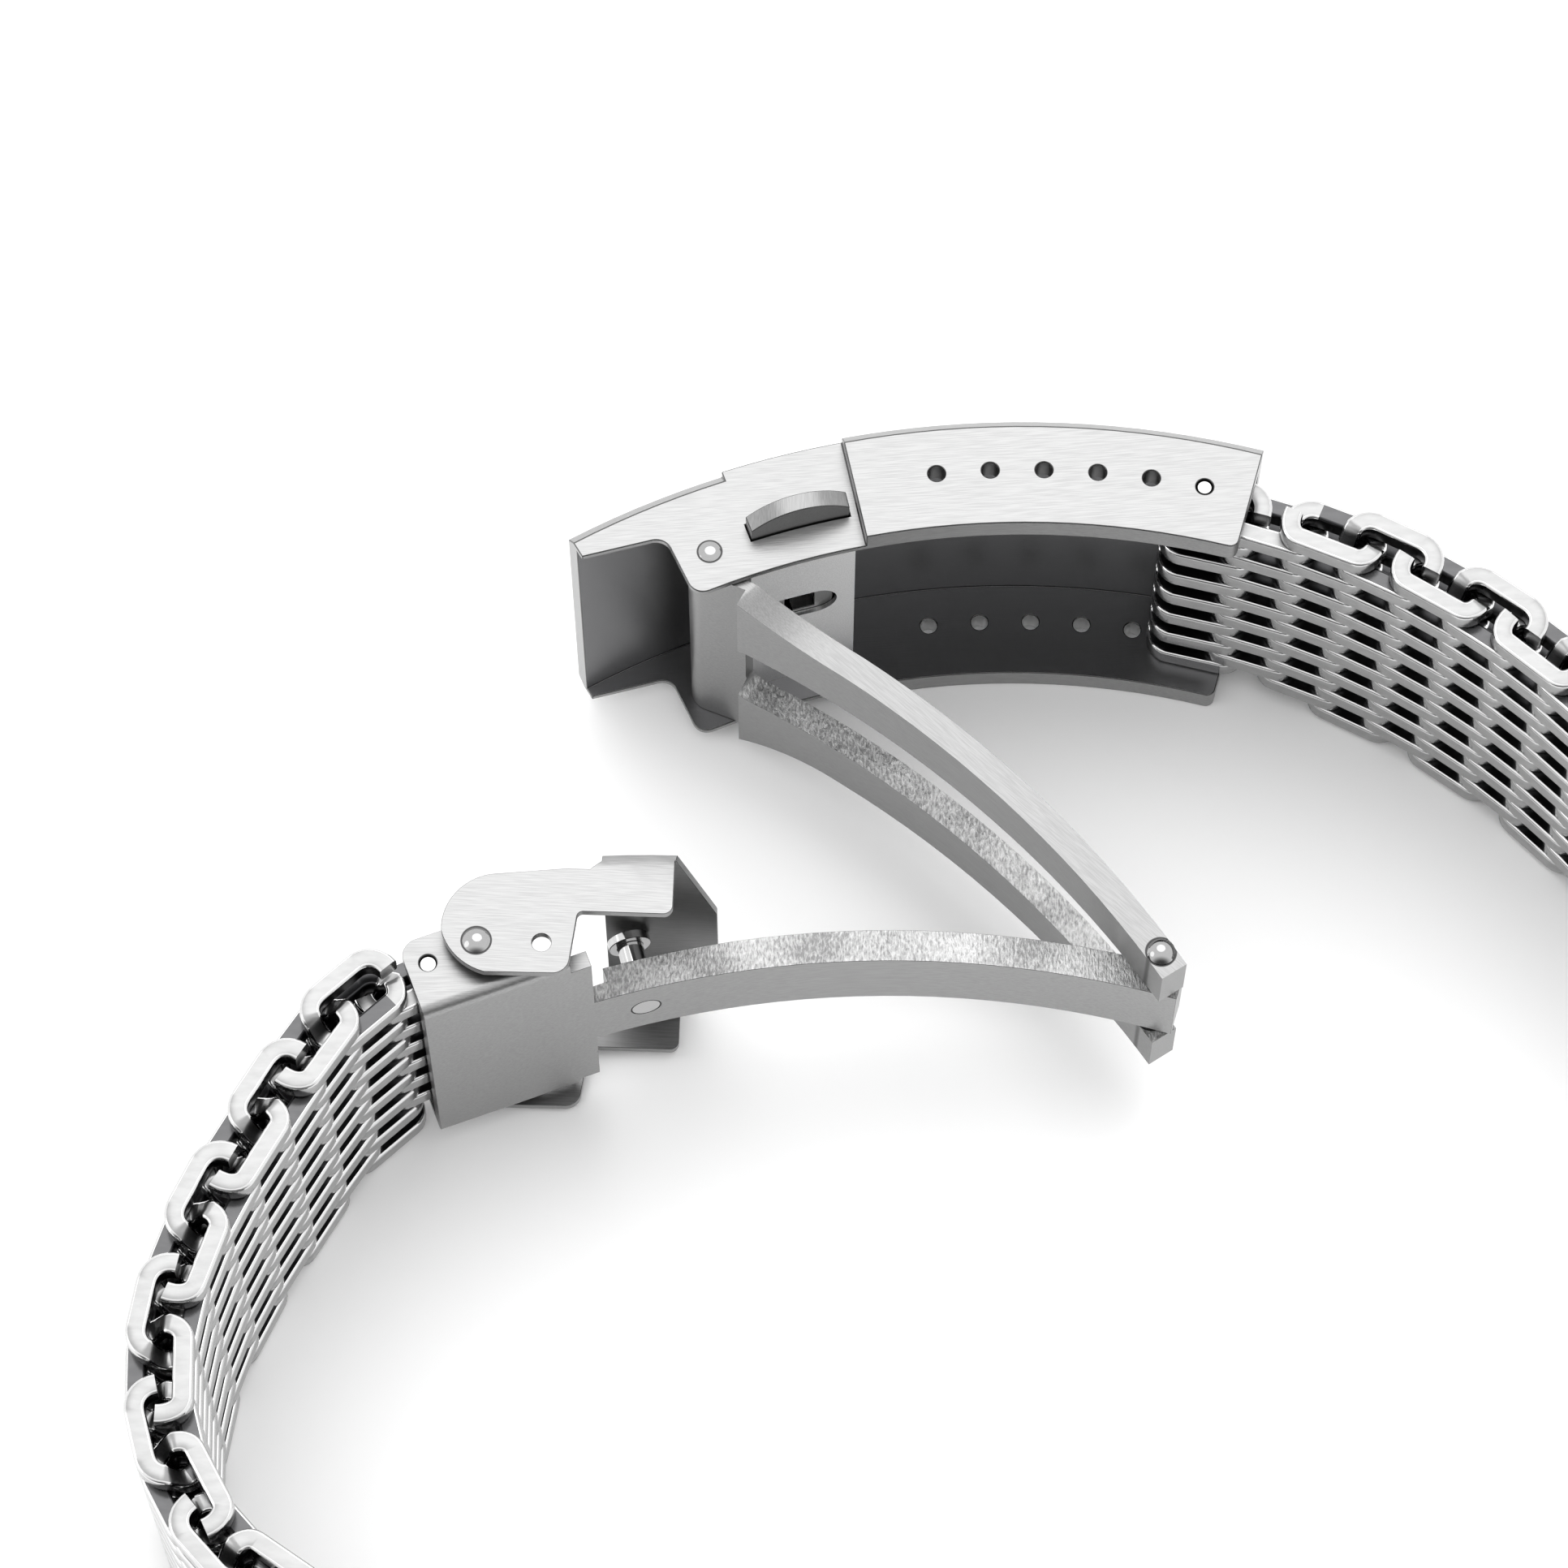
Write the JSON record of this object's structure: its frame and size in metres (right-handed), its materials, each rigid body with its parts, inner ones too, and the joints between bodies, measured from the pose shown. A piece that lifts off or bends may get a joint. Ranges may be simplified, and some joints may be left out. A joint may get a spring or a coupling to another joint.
{
  "type": "shark mesh bracelet",
  "caption": "Shark mesh watch bracelet with interlocked wire coils, an open double push-button fold-over clasp, a safety flap and micro-adjustment holes, lying on its edge.",
  "frame": {"origin": "middle of the clasp cover's lower side face, which lies on the table, halfway between the cover's two curved edges", "axes": "+Z across the band, up from the table; +X along the clasp towards the strap held in the cover; +Y to the cover's outer side, away from the wrist"},
  "size_m": [0.0921, 0.0716, 0.0213],
  "materials": {
    "cover_steel": "fine lengthwise brushed",
    "blade_steel": "satin with machined edges",
    "mesh_steel": "satin flats with polished rounded edges",
    "pin_steel": "polished",
    "spring_steel": "plain drawn wire"
  },
  "bodies": {
    "cover": {"clasp_cover": "cover_steel", "catch_block": "cover_steel", "blade_pivot_pin": "pin_steel", "button_spring": "spring_steel", "cover_bar_tube": "pin_steel", "cover_bar_spring": "spring_steel"},
    "upper_button": {"button_upper": "cover_steel"},
    "lower_button": {"button_lower": "cover_steel"},
    "cover_bar_upper_tip": {"cover_bar_tip_upper": "pin_steel"},
    "cover_bar_lower_tip": {"cover_bar_tip_lower": "pin_steel"},
    "inner_blade_body": {"inner_blade": "blade_steel"},
    "blade_hinge": {"blade_hinge_pin": "pin_steel"},
    "outer_blade_body": {"outer_blade": "blade_steel", "catch_stud": "pin_steel", "end_link_pin": "pin_steel"},
    "flap": {"safety_flap": "cover_steel", "flap_pivot_rivets": "pin_steel"},
    "right_strap_01": {"right_coil_01": "mesh_steel"},
    "right_strap_02": {"right_coil_02": "mesh_steel"},
    "right_strap_03": {"right_coil_03": "mesh_steel"},
    "right_strap_04": {"right_coil_04": "mesh_steel"},
    "right_strap_05": {"right_coil_05": "mesh_steel"},
    "right_strap_06": {"right_coil_06": "mesh_steel"},
    "right_strap_07": {"right_coil_07": "mesh_steel"},
    "right_strap_08": {"right_coil_08": "mesh_steel"},
    "right_strap_09": {"right_coil_09": "mesh_steel"},
    "right_strap_10": {"right_coil_10": "mesh_steel"},
    "right_strap_11": {"right_coil_11": "mesh_steel"},
    "right_strap_12": {"right_coil_12": "mesh_steel"},
    "right_strap_13": {"right_coil_13": "mesh_steel"},
    "right_strap_14": {"right_coil_14": "mesh_steel"},
    "right_strap_15": {"right_coil_15": "mesh_steel"},
    "right_strap_16": {"right_coil_16": "mesh_steel", "lug_bar_right_tube": "pin_steel", "lug_bar_right_spring": "spring_steel"},
    "right_lug_tip_upper": {"lug_bar_right_tip_upper": "pin_steel"},
    "right_lug_tip_lower": {"lug_bar_right_tip_lower": "pin_steel"},
    "left_strap_01": {"left_coil_01": "mesh_steel"},
    "left_strap_02": {"left_coil_02": "mesh_steel"},
    "left_strap_03": {"left_coil_03": "mesh_steel"},
    "left_strap_04": {"left_coil_04": "mesh_steel"},
    "left_strap_05": {"left_coil_05": "mesh_steel"},
    "left_strap_06": {"left_coil_06": "mesh_steel"},
    "left_strap_07": {"left_coil_07": "mesh_steel"},
    "left_strap_08": {"left_coil_08": "mesh_steel"},
    "left_strap_09": {"left_coil_09": "mesh_steel"},
    "left_strap_10": {"left_coil_10": "mesh_steel"},
    "left_strap_11": {"left_coil_11": "mesh_steel"},
    "left_strap_12": {"left_coil_12": "mesh_steel"},
    "left_strap_13": {"left_coil_13": "mesh_steel"},
    "left_strap_14": {"left_coil_14": "mesh_steel"},
    "left_strap_15": {"left_coil_15": "mesh_steel"},
    "left_strap_16": {"left_coil_16": "mesh_steel", "lug_bar_left_tube": "pin_steel", "lug_bar_left_spring": "spring_steel"},
    "left_lug_tip_upper": {"lug_bar_left_tip_upper": "pin_steel"},
    "left_lug_tip_lower": {"lug_bar_left_tip_lower": "pin_steel"}
  },
  "joints": [
    {"name": "inner_blade_hinge", "type": "hinge", "parent": "cover", "child": "inner_blade_body", "pos_m": [-0.01753, -0.0037, 0.0102], "axis": [0, 0, 1], "range_deg": [-45, 39]},
    {"name": "hinge_pin_turn", "type": "hinge", "parent": "inner_blade_body", "child": "blade_hinge", "pos_m": [0.00708, -0.02665, 0.0102], "axis": [0, 0, -1], "range_deg": [-100, 22]},
    {"name": "outer_blade_hinge", "type": "hinge", "parent": "blade_hinge", "child": "outer_blade_body", "pos_m": [0.00708, -0.02665, 0.0102], "axis": [0, 0, -1], "range_deg": [0, 20.76]},
    {"name": "flap_hinge", "type": "hinge", "parent": "outer_blade_body", "child": "flap", "pos_m": [-0.02991, -0.02755, 0.0102], "axis": [0, 0, 1], "range_deg": [0, 115]},
    {"name": "upper_button_press", "type": "slide", "parent": "cover", "child": "upper_button", "axis": [0, 0, -1], "range_m": [0, 0.0009], "stiffness_N_per_m": 100, "springref_m": -0.001, "deforming": ["button_spring"]},
    {"name": "lower_button_press", "type": "slide", "parent": "cover", "child": "lower_button", "axis": [0, 0, -1], "range_m": [0, 0.0009], "stiffness_N_per_m": 100, "springref_m": 0.001, "deforming": ["button_spring"]},
    {"name": "cover_bar_upper_tip_press", "type": "slide", "parent": "cover", "child": "cover_bar_upper_tip", "axis": [0, 0, -1], "range_m": [0, 0.0016], "stiffness_N_per_m": 1200, "springref_m": -0.0008, "deforming": ["cover_bar_spring"]},
    {"name": "cover_bar_lower_tip_press", "type": "slide", "parent": "cover", "child": "cover_bar_lower_tip", "axis": [0, 0, 1], "range_m": [0, 0.0016], "stiffness_N_per_m": 1200, "springref_m": -0.0008, "deforming": ["cover_bar_spring"]},
    {"name": "right_strap_joint_01", "type": "hinge", "parent": "cover", "child": "right_strap_01", "pos_m": [0.01002, -0.0002, 0.0102], "axis": [0, 0, 1], "range_deg": [-12, 3]},
    {"name": "left_strap_joint_01", "type": "hinge", "parent": "outer_blade_body", "child": "left_strap_01", "pos_m": [-0.03256, -0.02832, 0.0102], "axis": [0, 0, -1], "range_deg": [-0.5, 4]},
    {"name": "right_strap_joint_02", "type": "hinge", "parent": "right_strap_01", "child": "right_strap_02", "pos_m": [0.01252, -0.00082, 0.0102], "axis": [0, 0, 1], "range_deg": [-12.4, 14.6]},
    {"name": "right_strap_joint_03", "type": "hinge", "parent": "right_strap_02", "child": "right_strap_03", "pos_m": [0.01569, -0.00189, 0.0102], "axis": [0, 0, 1], "range_deg": [-12.4, 14.6]},
    {"name": "right_strap_joint_04", "type": "hinge", "parent": "right_strap_03", "child": "right_strap_04", "pos_m": [0.01877, -0.00321, 0.0102], "axis": [0, 0, 1], "range_deg": [-12.4, 14.6]},
    {"name": "right_strap_joint_05", "type": "hinge", "parent": "right_strap_04", "child": "right_strap_05", "pos_m": [0.02174, -0.00477, 0.0102], "axis": [0, 0, 1], "range_deg": [-12.4, 14.6]},
    {"name": "right_strap_joint_06", "type": "hinge", "parent": "right_strap_05", "child": "right_strap_06", "pos_m": [0.02456, -0.00657, 0.0102], "axis": [0, 0, 1], "range_deg": [-12.4, 14.6]},
    {"name": "right_strap_joint_07", "type": "hinge", "parent": "right_strap_06", "child": "right_strap_07", "pos_m": [0.02724, -0.00858, 0.0102], "axis": [0, 0, 1], "range_deg": [-12.4, 14.6]},
    {"name": "right_strap_joint_08", "type": "hinge", "parent": "right_strap_07", "child": "right_strap_08", "pos_m": [0.02974, -0.01081, 0.0102], "axis": [0, 0, 1], "range_deg": [-12.4, 14.6]},
    {"name": "right_strap_joint_09", "type": "hinge", "parent": "right_strap_08", "child": "right_strap_09", "pos_m": [0.03206, -0.01323, 0.0102], "axis": [0, 0, 1], "range_deg": [-12.4, 14.6]},
    {"name": "right_strap_joint_10", "type": "hinge", "parent": "right_strap_09", "child": "right_strap_10", "pos_m": [0.03418, -0.01582, 0.0102], "axis": [0, 0, 1], "range_deg": [-12.4, 14.6]},
    {"name": "right_strap_joint_11", "type": "hinge", "parent": "right_strap_10", "child": "right_strap_11", "pos_m": [0.03608, -0.01858, 0.0102], "axis": [0, 0, 1], "range_deg": [-12.4, 14.6]},
    {"name": "right_strap_joint_12", "type": "hinge", "parent": "right_strap_11", "child": "right_strap_12", "pos_m": [0.03776, -0.02148, 0.0102], "axis": [0, 0, 1], "range_deg": [-12.4, 14.6]},
    {"name": "right_strap_joint_13", "type": "hinge", "parent": "right_strap_12", "child": "right_strap_13", "pos_m": [0.03919, -0.02451, 0.0102], "axis": [0, 0, 1], "range_deg": [-12.4, 14.6]},
    {"name": "right_strap_joint_14", "type": "hinge", "parent": "right_strap_13", "child": "right_strap_14", "pos_m": [0.04038, -0.02764, 0.0102], "axis": [0, 0, 1], "range_deg": [-12.4, 14.6]},
    {"name": "right_strap_joint_15", "type": "hinge", "parent": "right_strap_14", "child": "right_strap_15", "pos_m": [0.04132, -0.03086, 0.0102], "axis": [0, 0, 1], "range_deg": [-12.4, 14.6]},
    {"name": "right_strap_joint_16", "type": "hinge", "parent": "right_strap_15", "child": "right_strap_16", "pos_m": [0.04199, -0.03414, 0.0102], "axis": [0, 0, 1], "range_deg": [-12.4, 14.6]},
    {"name": "right_lug_tip_upper_press", "type": "slide", "parent": "right_strap_16", "child": "right_lug_tip_upper", "axis": [0, 0, -1], "range_m": [0, 0.0009], "stiffness_N_per_m": 150, "springref_m": -0.0008, "deforming": ["lug_bar_right_spring"]},
    {"name": "right_lug_tip_lower_press", "type": "slide", "parent": "right_strap_16", "child": "right_lug_tip_lower", "axis": [0, 0, -1], "range_m": [0, 0.0006], "stiffness_N_per_m": 100, "springref_m": 0.0007, "deforming": ["lug_bar_right_spring"]},
    {"name": "left_strap_joint_02", "type": "hinge", "parent": "left_strap_01", "child": "left_strap_02", "pos_m": [-0.03528, -0.02954, 0.0102], "axis": [0, 0, -1], "range_deg": [-0.5, 26.5]},
    {"name": "left_strap_joint_03", "type": "hinge", "parent": "left_strap_02", "child": "left_strap_03", "pos_m": [-0.03773, -0.03182, 0.0102], "axis": [0, 0, -1], "range_deg": [-3, 24]},
    {"name": "left_strap_joint_04", "type": "hinge", "parent": "left_strap_03", "child": "left_strap_04", "pos_m": [-0.03956, -0.03462, 0.0102], "axis": [0, 0, -1], "range_deg": [-14, 13]},
    {"name": "left_strap_joint_05", "type": "hinge", "parent": "left_strap_04", "child": "left_strap_05", "pos_m": [-0.04124, -0.03752, 0.0102], "axis": [0, 0, -1], "range_deg": [-16, 11]},
    {"name": "left_strap_joint_06", "type": "hinge", "parent": "left_strap_05", "child": "left_strap_06", "pos_m": [-0.04287, -0.04045, 0.0102], "axis": [0, 0, -1], "range_deg": [-12.8, 14.2]},
    {"name": "left_strap_joint_07", "type": "hinge", "parent": "left_strap_06", "child": "left_strap_07", "pos_m": [-0.04428, -0.04349, 0.0102], "axis": [0, 0, -1], "range_deg": [-10.5, 16.5]},
    {"name": "left_strap_joint_08", "type": "hinge", "parent": "left_strap_07", "child": "left_strap_08", "pos_m": [-0.04534, -0.04667, 0.0102], "axis": [0, 0, -1], "range_deg": [-8.2, 18.8]},
    {"name": "left_strap_joint_09", "type": "hinge", "parent": "left_strap_08", "child": "left_strap_09", "pos_m": [-0.0459, -0.04997, 0.0102], "axis": [0, 0, -1], "range_deg": [-5.9, 21.1]},
    {"name": "left_strap_joint_10", "type": "hinge", "parent": "left_strap_09", "child": "left_strap_10", "pos_m": [-0.04581, -0.05332, 0.0102], "axis": [0, 0, -1], "range_deg": [-3.6, 23.4]},
    {"name": "left_strap_joint_11", "type": "hinge", "parent": "left_strap_10", "child": "left_strap_11", "pos_m": [-0.04495, -0.05656, 0.0102], "axis": [0, 0, -1], "range_deg": [-3.5, 23.5]},
    {"name": "left_strap_joint_12", "type": "hinge", "parent": "left_strap_11", "child": "left_strap_12", "pos_m": [-0.04335, -0.0595, 0.0102], "axis": [0, 0, -1], "range_deg": [-3.5, 23.5]},
    {"name": "left_strap_joint_13", "type": "hinge", "parent": "left_strap_12", "child": "left_strap_13", "pos_m": [-0.04112, -0.062, 0.0102], "axis": [0, 0, -1], "range_deg": [-3.5, 23.5]},
    {"name": "left_strap_joint_14", "type": "hinge", "parent": "left_strap_13", "child": "left_strap_14", "pos_m": [-0.03836, -0.0639, 0.0102], "axis": [0, 0, -1], "range_deg": [-3.5, 23.5]},
    {"name": "left_strap_joint_15", "type": "hinge", "parent": "left_strap_14", "child": "left_strap_15", "pos_m": [-0.03523, -0.0651, 0.0102], "axis": [0, 0, -1], "range_deg": [-3.5, 23.5]},
    {"name": "left_strap_joint_16", "type": "hinge", "parent": "left_strap_15", "child": "left_strap_16", "pos_m": [-0.03191, -0.06555, 0.0102], "axis": [0, 0, -1], "range_deg": [-3.5, 23.5]},
    {"name": "left_lug_tip_upper_press", "type": "slide", "parent": "left_strap_16", "child": "left_lug_tip_upper", "axis": [0, 0, -1], "range_m": [0, 0.0009], "stiffness_N_per_m": 150, "springref_m": -0.0008, "deforming": ["lug_bar_left_spring"]},
    {"name": "left_lug_tip_lower_press", "type": "slide", "parent": "left_strap_16", "child": "left_lug_tip_lower", "axis": [0, 0, -1], "range_m": [0, 0.0006], "stiffness_N_per_m": 100, "springref_m": 0.0007, "deforming": ["lug_bar_left_spring"]}
  ]
}
